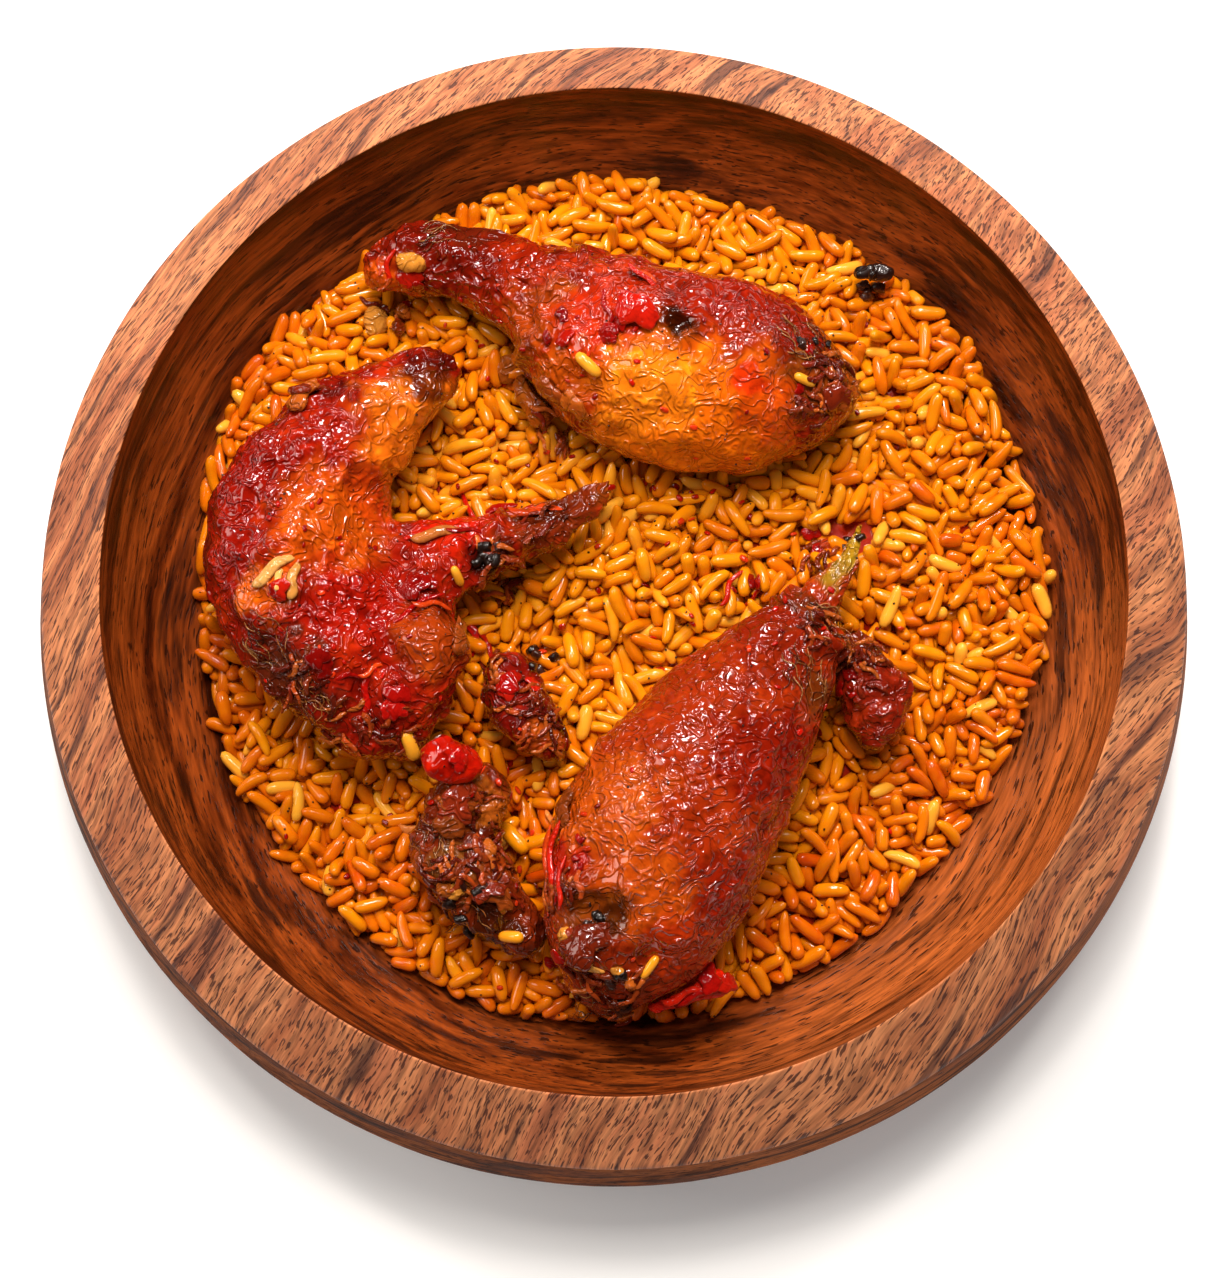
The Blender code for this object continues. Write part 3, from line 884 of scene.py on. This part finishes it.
def cookedRice(name):
    # plump starch stained by tomato and oil: smooth, with a small bright spot on each grain
    material, tree, shader = newMaterial(name, 0.15, IOR=1.44, Coat_Weight=0.4, Coat_Roughness=0.05)
    tone = addNode(tree, "ShaderNodeAttribute", {"attribute_name": "tone"}).outputs["Fac"]
    place = addNode(tree, "ShaderNodeTexCoord", {}).outputs["Object"]
    # patches of stain are about 4 mm across, and the grit of the skin about 1 mm
    patch = addNode(tree, "ShaderNodeTexNoise", {"Scale": 260, "Detail": 3}, {"Vector": place})
    shift = addNode(tree, "ShaderNodeMath", {"operation": "MULTIPLY_ADD", 1: 0.4, 2: -0.2},
                    {0: patch.outputs[0]})
    total = addNode(tree, "ShaderNodeMath", {"operation": "ADD"}, {0: tone, 1: shift.outputs[0]})
    colour = addNode(tree, "ShaderNodeValToRGB", {"stops": riceTones}, {"Fac": total.outputs[0]})
    tree.links.new(colour.outputs[0], shader.inputs["Base Color"])
    grit = addNode(tree, "ShaderNodeTexNoise", {"Scale": 900, "Detail": 2}, {"Vector": place})
    tree.links.new(bumpBy(tree, grit.outputs[0], 0.1, 0.0003), shader.inputs["Normal"])
    return material


def plantCopies(name, look, spots, values, material, slot):
    # every copy of one shape in one mesh; each has its own place, axes, size and tone or tint
    shape, faces = podShape(name, look)
    centre, direction, up, length, width = spots
    count = len(centre)
    across = np.cross(up, direction)
    points = (centre[:, None, :] + shape[None, :, 0:1] * length[:, None, None] * direction[:, None, :]
              + shape[None, :, 1:2] * width[:, None, None] * across[:, None, :]
              + shape[None, :, 2:3] * width[:, None, None] * up[:, None, :])
    shifts = np.arange(count) * len(shape)
    allFaces = [tuple(v + shift for v in face) for shift in shifts.tolist() for face in faces]
    mesh = bpy.data.meshes.new(name)
    mesh.from_pydata((points.reshape(-1, 3) * mm).tolist(), [], allFaces)
    values = np.repeat(values, len(shape), axis=0)
    if values.ndim == 1:
        mesh.attributes.new("tone", "FLOAT", "POINT").data.foreach_set("value", values)
    else:
        mesh.color_attributes.new("tint", "FLOAT_COLOR", "POINT").data.foreach_set("color", values.ravel())
    piece = bpy.data.objects.new(name, mesh)
    bpy.context.scene.collection.objects.link(piece)
    print(name, count, "copies")
    return finishPiece(piece, material, slot)


def squareTo(direction, up):
    # the part of up that stands square to direction, as a unit vector
    up = up - direction * (up * direction).sum(1, keepdims=True)
    return up / np.maximum(np.linalg.norm(up, axis=1, keepdims=True), 1e-6)


def makeCore():
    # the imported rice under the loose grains: heap above, bowl below
    piece = startMesh(bpy.ops.mesh.primitive_uv_sphere_add, "rice_core", segments=rice["coreSegments"],
                      ring_count=rice["coreRings"], radius=1.0)
    unit = meshPoints(piece.data) * mm
    share = np.hypot(unit[:, 0], unit[:, 1])
    x, y = unit[:, 0] * rice["coreRadius"], unit[:, 1] * rice["coreRadius"]
    wall = wallHeight(share * rice["coreRadius"]) + 0.6
    top = np.maximum(gridValue(coreGrid, x, y), wall)
    lumpy = 0.8 * roughField(np.stack([x, y, top], axis=1), 3.2, 2.0)
    heap = np.maximum(top + lumpy * (share < 0.93), wall + 0.3 * (1 - share))
    z = np.where(unit[:, 2] > 0.01, heap, wall)
    setPoints(piece.data, np.stack([x, y, z], axis=1))
    # painted shade: the core is given the darkest tone, for the shade in the gaps between the grains
    tones = piece.data.attributes.new("tone", "FLOAT", "POINT")
    tones.data.foreach_set("value", np.full(len(x), rice["gapShadeTone"]))
    return finishPiece(piece, cookedRice("packed rice"), "rice", "rice")


food = foodDistance()
print("food measured")
core = makeCore()
centre, direction, kind, length, width = scatterSeeds()
centre, direction = settle(centre, direction, length, width)
print("grains settled")
edgeShade = blend(40, 105, np.hypot(centre[:, 0], centre[:, 1] - 35))  # painted shade: grains are darker towards the front and sides of the heap
tone = draw.normal(0.64, 0.09, len(centre)) + 0.12 * roughField(centre, 16, 9.0)
tone = np.clip(tone - 0.17 * edgeShade, 0.05, 1)
pale = draw.uniform(0, 1, len(centre)) < 0.04
tone[pale] = 0.95
foodMaterials["rice"] = cookedRice("cooked rice")
grainPieces = []
for index, (name, look) in enumerate(grainKinds.items()):
    chosen = kind == index
    up = squareTo(direction[chosen], draw.normal(0, 1, (chosen.sum(), 3)))
    longer, wider = length[chosen] / look["length"], width[chosen] / look["width"]
    spots = (centre[chosen], direction[chosen], up, longer, wider)
    grainPieces.append(plantCopies(name, look, spots, tone[chosen], foodMaterials["rice"], "rice"))
print("rice laid")


# Loose bits lie on whatever is under them. sites are (x, y, reach, count, heading, spread, size), in mm
# and degrees; reach is how far from the spot they scatter.
toppings = {
    "meat_shreds": {
        "length": 8.5, "width": 1.5, "bow": 1.3, "wave": 0.6, "taper": 0.4, "ragged": 0.3, "flat": 0.7,
        "rings": 10, "rise": 14, "slot": "meat",
        "colours": ["#6b1a08", "#9c3a10", "#541407", "#b0521a", "#7c2a0c"],
        "sites": [(55, 51, 6, 16, 0, 60, 1.0), (50, 42, 5, 10, -30, 60, 0.9),
            (-60, 74, 5, 10, 180, 70, 0.8), (-14, -78, 6, 14, 100, 60, 0.9),
            (-8, -98, 6, 18, 200, 70, 0.9), (2, -103, 5, 14, 270, 70, 0.8), (-35, -60, 7, 18, 0, 180, 0.9),
            (-32, -74, 9, 26, 0, 180, 1.0), (-42, -76, 6, 16, 0, 180, 0.9), (-18, -38, 6, 16, 0, 180, 0.8),
            (-23, -30, 5, 12, 0, 180, 0.8), (-31, -22, 5, 10, 80, 90, 0.8),
            (-78, -27, 6, 12, 220, 50, 0.9), (-66, -37, 6, 12, 240, 60, 0.9), (-30, 4, 6, 16, 60, 90, 1.0),
            (-18, 15, 6, 10, 20, 40, 1.0), (62, -22, 7, 22, 0, 180, 0.9), (50, -14, 5, 12, -40, 60, 1.0),
            (-16, 42, 5, 8, -60, 60, 0.9), (-54, -40, 6, 12, 0, 180, 0.8), (53, 8, 5, 8, 60, 60, 0.8)],
    },
    "dark_fibres": {
        "length": 8.5, "width": 0.34, "bow": 1.2, "wave": 0.7, "taper": 0.3, "ragged": 0.1, "sides": 5,
        "rings": 12, "rise": 6, "slot": "meat",
        "colours": ["#6a3010", "#8a4c20", "#48180a", "#9c6434"],
        "sites": [(48, 58, 6, 22, -40, 40, 0.9), (57, 50, 6, 14, -60, 60, 0.8),
            (-45, 92, 6, 16, 0, 30, 1.0), (-84, -18, 6, 26, -60, 50, 1.0), (-74, -30, 6, 18, -70, 50, 1.0),
            (53, -12, 5, 22, -40, 40, 1.0), (48, -26, 6, 22, -90, 50, 0.9), (60, -16, 5, 16, -30, 50, 0.9),
            (-44, -66, 5, 18, -90, 50, 0.9), (-4, -104, 6, 20, 180, 50, 0.8),
            (-35, -84, 6, 14, 0, 180, 0.8)],
    },
    "pepper_strips": {
        "length": 16.0, "width": 2.1, "bow": 0.9, "wave": 1.0, "taper": 0.25, "ragged": 0.2, "flat": 0.55,
        "rings": 12, "rise": 4, "slot": "tomato",
        "colours": ["#a30c06", "#b81a08", "#8a0a05", "#c43a0e"],
        "sites": [(-36, 21, 1, 1, 4, 6, 1.5), (-31, 19, 1.5, 2, 2, 8, 1.3), (-18, 17, 2, 2, 0, 12, 1.0),
            (-22, 21, 2, 1, 10, 10, 0.9), (-38, 12, 2, 1, 10, 10, 0.8), (-47, -8, 3, 2, 35, 20, 0.9),
            (-16, -70, 1.5, 2, 80, 12, 1.2), (-13, -76, 2, 2, 95, 20, 0.9), (-35, -12, 2, 2, -70, 20, 0.8),
            (36, -2, 2, 2, 50, 25, 0.7), (28, 0, 2, 1, 60, 25, 0.7), (8, 72, 2, 3, -60, 15, 0.8),
            (-4, 66, 3, 1, 60, 60, 0.6), (-62, -28, 5, 3, 20, 60, 0.7), (18, -102, 3, 2, 30, 30, 0.9),
            (-58, 84, 3, 2, 80, 30, 0.6)],
    },
    "tomato_skins": {
        "length": 8.0, "width": 5.6, "bow": 0.5, "wave": 0.3, "taper": 0.2, "ragged": 0.45, "flat": 0.3,
        "blunt": 2.2, "sides": 14, "rings": 12, "rise": 8, "slot": "tomato",
        "colours": ["#9c0c06", "#ae1608", "#850a05"],
        "sites": [(-72, -23, 3, 2, 0, 180, 0.8), (-83, -6, 3, 2, 0, 180, 0.8),
            (-46, -6, 4, 2, 30, 60, 1.0), (-54, -34, 5, 3, 0, 180, 0.8), (-18, 60, 8, 3, 0, 180, 0.6),
            (2, 58, 6, 3, 0, 180, 0.7), (5, 63, 1, 1, -20, 10, 1.4), (-53, 78, 4, 3, 0, 180, 0.8),
            (-24, -26, 4, 3, 0, 180, 0.8), (-36, -50, 4, 2, 0, 180, 0.7), (36, 4, 3, 2, 0, 180, 0.6),
            (52, 14, 3, 2, 60, 60, 0.6), (-12, -96, 4, 2, 0, 180, 0.7), (48, 50, 6, 3, 0, 180, 0.5),
            (60, -26, 4, 2, 0, 180, 0.6), (24, -100, 3, 2, 0, 180, 0.9)],
    },
    "skin_folds": {
        "length": 13.0, "width": 8.0, "bow": 1.2, "wave": 0.8, "taper": 0.3, "ragged": 0.4, "flat": 0.4,
        "sides": 16, "rings": 12, "rise": 8, "slot": "chicken",
        "colours": ["#a34c12", "#8a3a0e", "#74200a"],
        "sites": [(-15, 46, 1, 1, -70, 10, 0.9), (-9, 43, 1, 1, -60, 10, 0.8),
            (-27, 58, 2, 1, 60, 20, 0.7), (57, 45, 2, 2, 0, 30, 0.6), (-12, -60, 2, 1, 80, 20, 0.8),
            (-8, -92, 2, 2, 20, 30, 0.9), (-38, -58, 2, 2, 60, 60, 0.8), (-30, -80, 2, 2, 0, 60, 0.8),
            (-76, 46, 2, 2, 50, 20, 0.8), (-38, -16, 2, 1, 90, 20, 0.6), (62, -14, 2, 1, -20, 30, 0.7)],
    },
    "gristle_lumps": {
        "length": 8.0, "width": 6.2, "bow": 0.2, "ragged": 0.4, "blunt": 2.2, "flat": 0.9,
        "sides": 16, "rings": 12, "rise": 0, "slot": "chicken",
        "colours": ["#c07828", "#a85014", "#8e2a0a"],
        "sites": [(-62, 73, 1.5, 2, 60, 60, 0.9), (-55, 76, 2, 2, 0, 90, 0.8), (-57, 69, 2, 1, 0, 90, 0.7),
            (54, 11, 1, 1, 55, 10, 0.7), (-40, -80, 3, 2, 0, 180, 0.6), (-28, -66, 4, 2, 0, 180, 0.7),
            (-12, -90, 3, 2, 0, 180, 0.6), (2, -100, 3, 2, 0, 180, 0.5), (-52, 84, 2, 1, 0, 90, 0.8)],
    },
    "onion_slivers": {
        "length": 12.0, "width": 2.9, "bow": 0.8, "wave": 0.5, "taper": 0.1, "ragged": 0.08, "flat": 0.5,
        "rings": 10, "rise": 2, "slot": "tomato",
        "colours": ["#d08a3c", "#dc9c50", "#c87030"],
        "sites": [(-78.5, -4, 0.3, 1, 80, 3, 1.0), (-44, 11, 0.5, 1, 15, 5, 1.15),
            (-6, -97, 0.5, 1, 5, 5, 0.8), (-49, -60, 0.5, 1, 0, 8, 0.9), (-84, -1, 1, 1, 30, 10, 1.0),
            (-16, -60, 1, 1, -80, 8, 0.8), (-81, -3, 1, 1, 75, 8, 0.6)],
    },
    "stuck_grains": {
        "length": 9.4, "width": 3.5, "bow": 0.4, "taper": 0.05, "rise": 4, "slot": "rice",
        "tones": (0.65, 0.95),
        "sites": [(-25, -63, 0.3, 1, -50, 5, 1.0), (-6, 50, 1, 1, -40, 20, 0.8),
            (47, 47, 2, 1, -30, 20, 0.8), (-50, -46, 5, 2, 0, 180, 0.9), (-24, -84, 5, 1, 0, 180, 0.8),
            (10, -94, 5, 1, 0, 180, 0.8), (-40, 4, 4, 1, 0, 180, 0.8)],
    },
    "tomato_flakes": {
        "length": 2.6, "width": 1.7, "bow": 0.1, "ragged": 0.3, "flat": 0.4, "blunt": 2.4,
        "sides": 6, "rings": 6, "rise": 10, "slot": "tomato",
        "colours": ["#b01206", "#c8300c", "#8a0a05"],
        "sites": [(0, 0, 105, 50, 0, 180, 0.7), (-20, 58, 30, 30, 0, 180, 0.7),
            (-65, 0, 28, 30, 0, 180, 0.7), (10, 5, 35, 26, 0, 180, 0.9), (55, -20, 18, 14, 0, 180, 0.8),
            (-25, -60, 22, 22, 0, 180, 0.9), (20, 22, 14, 10, 0, 180, 0.8)],
    },
    "black_specks": {
        "length": 0.9, "width": 0.7, "bow": 0.0, "ragged": 0.2, "sides": 5, "rings": 4,
        "rise": 0, "slot": "burnt",
        "colours": ["#140704", "#2a0f07"],
        "sites": [(0, 0, 110, 420, 0, 180, 0.7)],
    },
    "charred_crumbs": {
        "length": 3.6, "width": 2.6, "bow": 0.1, "ragged": 0.45, "sides": 8, "rings": 7,
        "rise": 0, "slot": "burnt",
        "colours": ["#160804", "#34140a"],
        "sites": [(16, 82, 0.6, 2, 90, 30, 0.9), (67, 80, 2.5, 5, 0, 180, 0.9),
            (-30, 5, 5, 8, 0, 180, 1.0), (-35, -82, 6, 7, 0, 180, 1.0), (-4, -86, 3, 4, 0, 180, 0.8),
            (60, 12, 2.5, 4, 0, 180, 0.7), (0, -103, 5, 6, 0, 180, 0.9), (50, 58, 4, 4, 0, 180, 0.7),
            (-20, -18, 6, 5, 0, 180, 1.0)],
    },
}


def layTopping(name, look, ground):
    centre, direction, up, size = [], [], [], []
    for x, y, reach, count, heading, spread, scale in look["sites"]:
        for _ in range(count):
            turn = draw.uniform(0, 2 * math.pi)
            away = reach * math.sqrt(draw.uniform(0, 1))
            spot = Vector((x + away * math.cos(turn), y + away * math.sin(turn), 150)) * mm
            hit, normal = ground.ray_cast(spot, Vector((0, 0, -1)))[:2]
            if not hit or hit.z / mm < wallHeight(math.hypot(hit.x, hit.y) / mm) + 1.5:
                continue
            angle = math.radians(heading + draw.uniform(-spread, spread))
            lift = math.radians(draw.uniform(-look["rise"], look["rise"]))
            ahead = Vector((math.cos(angle), math.sin(angle), 0))
            ahead = (ahead - normal * ahead.dot(normal)).normalized()
            ahead = ahead * math.cos(lift) + normal * math.sin(lift)
            grow = scale * draw.uniform(0.8, 1.2)
            centre.append(np.array(hit) / mm + np.array(normal) * look["width"] * grow * 0.18)
            direction.append(ahead)
            up.append(normal)
            size.append(grow)
    centre, direction, up, size = (np.array(values) for values in (centre, direction, up, size))
    up = squareTo(direction, up)
    if "tones" in look:
        values = draw.uniform(*look["tones"], len(size))
    else:
        colours = np.array([toLinear(c) for c in look["colours"]])
        values = colours[draw.integers(0, len(colours), len(size))] * draw.uniform(0.7, 1.2, (len(size), 1))
    spots = (centre, direction, up, size, size * draw.uniform(0.85, 1.15, len(size)))
    return plantCopies(name, look, spots, np.clip(values, 0, 1), foodMaterials[look["slot"]], look["slot"])


ground = surfaceTree([*foodPieces, *grainPieces, core])
for name, look in toppings.items():
    layTopping(name, look, ground)
print("loose bits laid")


stage = {
    "floorSize": 6.0,
    "floorColour": "#f7f6f4",
    "lights": {  # name: place, size, power, colour, seen in reflections
        "top": ((0.0, 0.42, 1.45), 0.5, 16, "#fffaf4", False),
        "softbox": ((0.04, 1.0, 1.15), 0.3, 14.5, "#fff4ee", True),
        "side": ((-1.05, 0.2, 1.05), 0.6, 5, "#fff4ea", True),
        "spark_mid": ((-0.05, 0.42, 1.45), 0.13, 3.6, "#fff8f2", True),
        "spark_right": ((0.5, 0.75, 1.25), 0.13, 3.2, "#fff8f2", True),
        "spark_left": ((-0.55, 0.65, 1.3), 0.13, 3.2, "#fff8f2", True),
    },
    "skyColour": "#ffffff",
    "skyStrength": 0.3,
    "floorGlow": 0.12,  # keeps the paper white while the shadow stays soft
}
view = {
    "place": (0.00025, -0.1529, 0.8042),
    "tilt": math.radians(90 - 79.36),
    "lens": 84.5,
}


def addLight(name, place, size, power, colour, shines):
    light = bpy.data.lights.new(name, "AREA")
    light.size = size
    light.energy = power
    light.color = toLinear(colour)[:3]
    lamp = bpy.data.objects.new(name, light)
    bpy.context.scene.collection.objects.link(lamp)
    lamp.location = place
    lamp.visible_glossy = shines  # the top light only fills, so wet skin keeps its depth of colour
    lamp.rotation_euler = (Vector((0, 0, 0.05)) - Vector(place)).to_track_quat("-Z", "Y").to_euler()


def setStage():
    floor = startMesh(bpy.ops.mesh.primitive_plane_add, "studio_floor", size=stage["floorSize"])
    material, tree, shader = newMaterial("matt white paper", 0.9)
    shader.inputs["Base Color"].default_value = toLinear(stage["floorColour"])
    shader.inputs["Emission Color"].default_value = (1, 1, 1, 1)
    shader.inputs["Emission Strength"].default_value = stage["floorGlow"]
    floor.data.materials.append(material)
    for name, settings in stage["lights"].items():
        addLight(name, *settings)
    scene = bpy.context.scene
    scene.world = bpy.data.worlds.new("studio")
    scene.world.use_nodes = True
    backdrop = scene.world.node_tree.nodes["Background"]
    backdrop.inputs["Color"].default_value = toLinear(stage["skyColour"])
    backdrop.inputs["Strength"].default_value = stage["skyStrength"]
    scene.world.cycles_visibility.glossy = False  # no grey veil over the wet food
    scene.view_settings.view_transform = "Standard"
    camera = bpy.data.objects.new("camera", bpy.data.cameras.new("camera"))
    scene.collection.objects.link(camera)
    camera.location = view["place"]
    camera.rotation_euler = (view["tilt"], 0, 0)
    camera.data.lens = view["lens"]
    camera.data.clip_start = 0.01
    scene.camera = camera


setStage()
print("stage set")
